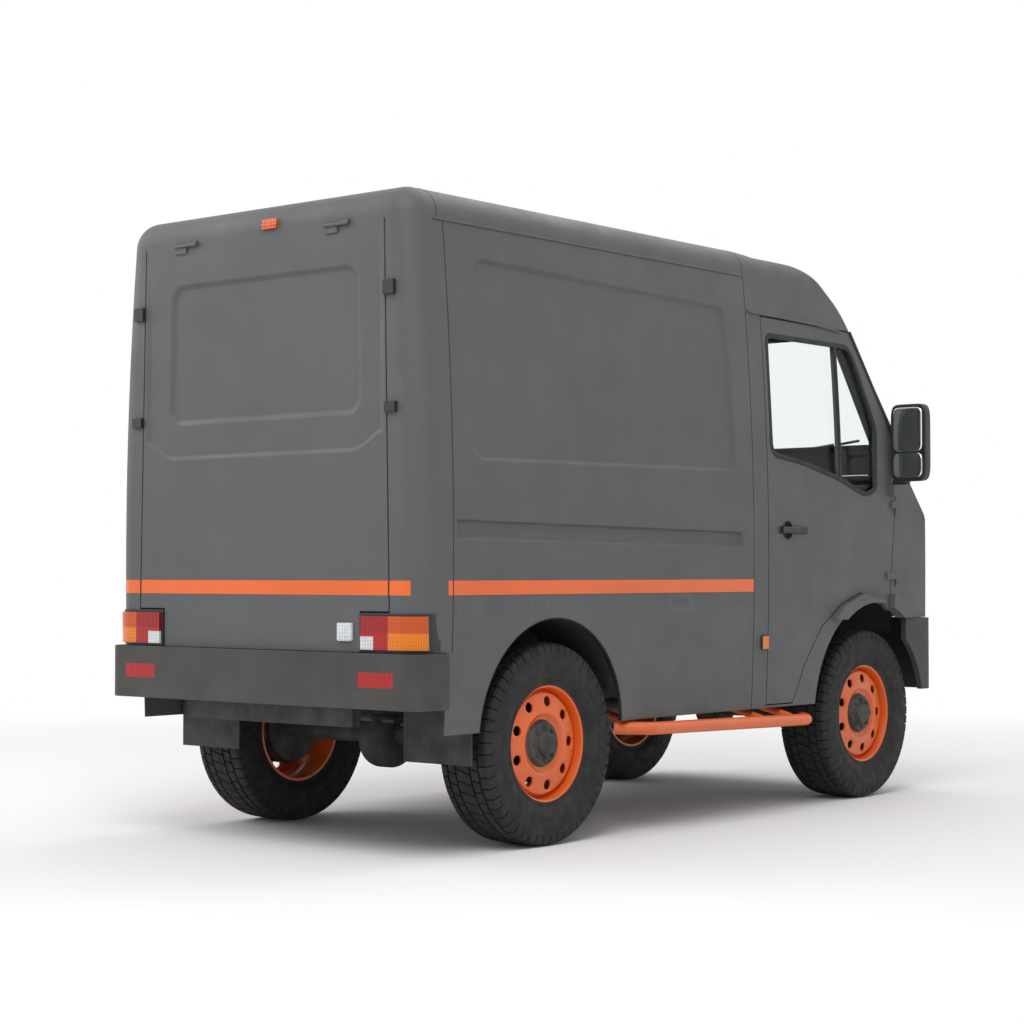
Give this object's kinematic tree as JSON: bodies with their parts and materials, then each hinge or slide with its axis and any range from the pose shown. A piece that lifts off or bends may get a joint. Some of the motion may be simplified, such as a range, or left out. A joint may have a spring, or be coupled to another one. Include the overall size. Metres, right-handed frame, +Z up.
{
  "type": "mail delivery truck",
  "caption": "Compact high-roof mail delivery truck with cargo body, top-hinged tailgate, two-seat cab, opening doors and steered wheels.",
  "frame": {"origin": "on the ground, at mid length and mid width", "axes": "+Z up, the truck faces -Y, its right side is -X"},
  "size_m": [1.886, 3.444, 2.262],
  "materials": {
    "body_paint": "satin",
    "bumper_plastic": "matte",
    "orange_paint": "gloss",
    "chassis_paint": "satin",
    "axle_iron": "matte",
    "spring_steel": "satin",
    "tyre_rubber": "matte",
    "flap_rubber": "matte",
    "black_plastic": "matte",
    "amber_lens": "gloss",
    "red_lens": "gloss",
    "clear_lens": "gloss",
    "window_glass": "gloss",
    "interior_plastic": "matte",
    "floor_paint": "satin",
    "seat_fabric": "matte",
    "aluminium": "satin",
    "exhaust_steel": "satin"
  },
  "bodies": {
    "truck": {"side_panels": "body_paint", "rear_corner_posts": "body_paint", "cargo_roof": "body_paint", "rear_roof_header": "body_paint", "cab_roof": "body_paint", "cab_shell": "body_paint", "front_wings": "body_paint", "front_panel": "body_paint", "tailgate_guide_blocks": "black_plastic", "rear_bumper": "bumper_plastic", "front_bumper": "bumper_plastic", "rear_lamp_bases": "black_plastic", "amber_lenses": "amber_lens", "red_lenses": "red_lens", "clear_lenses": "clear_lens", "headlamps": "clear_lens", "cargo_floor": "floor_paint", "rear_wheel_boxes": "floor_paint", "cab_floor": "floor_paint", "chassis_frame": "chassis_paint", "rear_axle": "axle_iron", "front_axle": "axle_iron", "leaf_springs": "spring_steel", "shock_absorbers": "chassis_paint", "engine": "aluminium", "propshaft": "chassis_paint", "exhaust": "exhaust_steel", "fuel_tank": "chassis_paint", "mudflaps": "flap_rubber", "windscreen": "window_glass", "dashboard": "interior_plastic", "seats": "seat_fabric", "side_steps": "orange_paint"},
    "tailgate": {"tailgate_skin": "body_paint", "tailgate_frame": "body_paint"},
    "tailgate_lever": {"tailgate_lever": "black_plastic"},
    "bonnet": {"bonnet": "body_paint"},
    "steering_wheel": {"steering_wheel": "interior_plastic"},
    "brake_pedal": {"brake_pedal": "chassis_paint"},
    "accelerator_pedal": {"accelerator_pedal": "chassis_paint"},
    "gear_lever": {"gear_lever": "black_plastic"},
    "wiper": {"wiper": "black_plastic"},
    "door_right": {"door_right": "body_paint"},
    "window_right": {"window_pane_right": "window_glass"},
    "handle_right": {"door_handle_right": "black_plastic"},
    "mirror_right": {"door_mirror_right": "black_plastic"},
    "knuckle_right": {"steering_knuckle_right": "axle_iron"},
    "front_wheel_right": {"front_tyre_right": "tyre_rubber", "front_rim_right": "orange_paint"},
    "rear_wheel_right": {"rear_tyre_right": "tyre_rubber", "rear_rim_right": "orange_paint"},
    "door_left": {"door_left": "body_paint"},
    "window_left": {"window_pane_left": "window_glass"},
    "handle_left": {"door_handle_left": "black_plastic"},
    "mirror_left": {"door_mirror_left": "black_plastic"},
    "knuckle_left": {"steering_knuckle_left": "axle_iron"},
    "front_wheel_left": {"front_tyre_left": "tyre_rubber", "front_rim_left": "orange_paint"},
    "rear_wheel_left": {"rear_tyre_left": "tyre_rubber", "rear_rim_left": "orange_paint"}
  },
  "joints": [
    {"name": "tailgate_lift", "type": "hinge", "parent": "truck", "child": "tailgate", "pos_m": [0, 1.7, 2.147], "axis": [1, 0, 0], "range_deg": [0, 85]},
    {"name": "tailgate_lever_turn", "type": "hinge", "parent": "tailgate", "child": "tailgate_lever", "pos_m": [0, 1.647, 0.818], "axis": [0, -1, 0], "range_deg": [0, 35], "stiffness_Nm_per_rad": 1.5},
    {"name": "bonnet_lift", "type": "hinge", "parent": "truck", "child": "bonnet", "pos_m": [0, -1.488, 1.399], "axis": [-1, 0, 0], "range_deg": [0, 50]},
    {"name": "steer_right", "type": "hinge", "parent": "truck", "child": "knuckle_right", "pos_m": [-0.545, -1.204, 0.36], "axis": [0, 0, 1], "range_deg": [-25, 25]},
    {"name": "steer_left", "type": "hinge", "parent": "truck", "child": "knuckle_left", "pos_m": [0.545, -1.204, 0.36], "axis": [0, 0, 1], "range_deg": [-25, 25]},
    {"name": "steering_wheel_turn", "type": "hinge", "parent": "truck", "child": "steering_wheel", "pos_m": [0.34, -1.13, 1.33], "axis": [0, 0.5, 0.866], "range_deg": [-352, 352]},
    {"name": "brake_pedal_press", "type": "hinge", "parent": "truck", "child": "brake_pedal", "pos_m": [0.34, -1.324, 1], "axis": [-1, 0, 0], "range_deg": [0, 18], "stiffness_Nm_per_rad": 8},
    {"name": "accelerator_press", "type": "hinge", "parent": "truck", "child": "accelerator_pedal", "pos_m": [0.43, -1.324, 1], "axis": [-1, 0, 0], "range_deg": [0, 18], "stiffness_Nm_per_rad": 6},
    {"name": "gear_lever_shift", "type": "hinge", "parent": "truck", "child": "gear_lever", "pos_m": [0.02, -1.06, 0.8645], "axis": [1, 0, 0], "range_deg": [-10, 10]},
    {"name": "wiper_sweep", "type": "hinge", "parent": "truck", "child": "wiper", "pos_m": [0, -1.467, 1.478], "axis": [0, 0.7796, -0.6263], "range_deg": [0, 95]},
    {"name": "door_right_swing", "type": "hinge", "parent": "truck", "child": "door_right", "pos_m": [-0.77, -1.388, 1.2], "axis": [0, 0, 1], "range_deg": [0, 65]},
    {"name": "window_right_drop", "type": "slide", "parent": "door_right", "child": "window_right", "axis": [0.03, 0, -0.9996], "range_m": [0, 0.36]},
    {"name": "handle_right_pull", "type": "hinge", "parent": "door_right", "child": "handle_right", "pos_m": [-0.77625, -0.645, 1.137], "axis": [0, 0, 1], "range_deg": [0, 20], "stiffness_Nm_per_rad": 3},
    {"name": "mirror_right_fold", "type": "hinge", "parent": "door_right", "child": "mirror_right", "pos_m": [-0.785, -1.361, 1.36], "axis": [0, 0, 1], "range_deg": [-55, 0]},
    {"name": "front_wheel_right_spin", "type": "hinge", "parent": "knuckle_right", "child": "front_wheel_right", "pos_m": [-0.62, -1.204, 0.36], "axis": [1, 0, 0], "continuous": true},
    {"name": "rear_wheel_right_spin", "type": "hinge", "parent": "truck", "child": "rear_wheel_right", "pos_m": [-0.62, 0.966, 0.36], "axis": [1, 0, 0], "continuous": true},
    {"name": "door_left_swing", "type": "hinge", "parent": "truck", "child": "door_left", "pos_m": [0.77, -1.388, 1.2], "axis": [0, 0, -1], "range_deg": [0, 65]},
    {"name": "window_left_drop", "type": "slide", "parent": "door_left", "child": "window_left", "axis": [-0.03, 0, -0.9996], "range_m": [0, 0.36]},
    {"name": "handle_left_pull", "type": "hinge", "parent": "door_left", "child": "handle_left", "pos_m": [0.77625, -0.645, 1.137], "axis": [0, 0, -1], "range_deg": [0, 20], "stiffness_Nm_per_rad": 3},
    {"name": "mirror_left_fold", "type": "hinge", "parent": "door_left", "child": "mirror_left", "pos_m": [0.785, -1.361, 1.36], "axis": [0, 0, -1], "range_deg": [-55, 0]},
    {"name": "front_wheel_left_spin", "type": "hinge", "parent": "knuckle_left", "child": "front_wheel_left", "pos_m": [0.62, -1.204, 0.36], "axis": [1, 0, 0], "continuous": true},
    {"name": "rear_wheel_left_spin", "type": "hinge", "parent": "truck", "child": "rear_wheel_left", "pos_m": [0.62, 0.966, 0.36], "axis": [1, 0, 0], "continuous": true}
  ],
  "couplings": [
    {"joint": "steer_left", "follows": "steer_right", "ratio": 1},
    {"joint": "steering_wheel_turn", "follows": "steer_right", "ratio": 14}
  ]
}
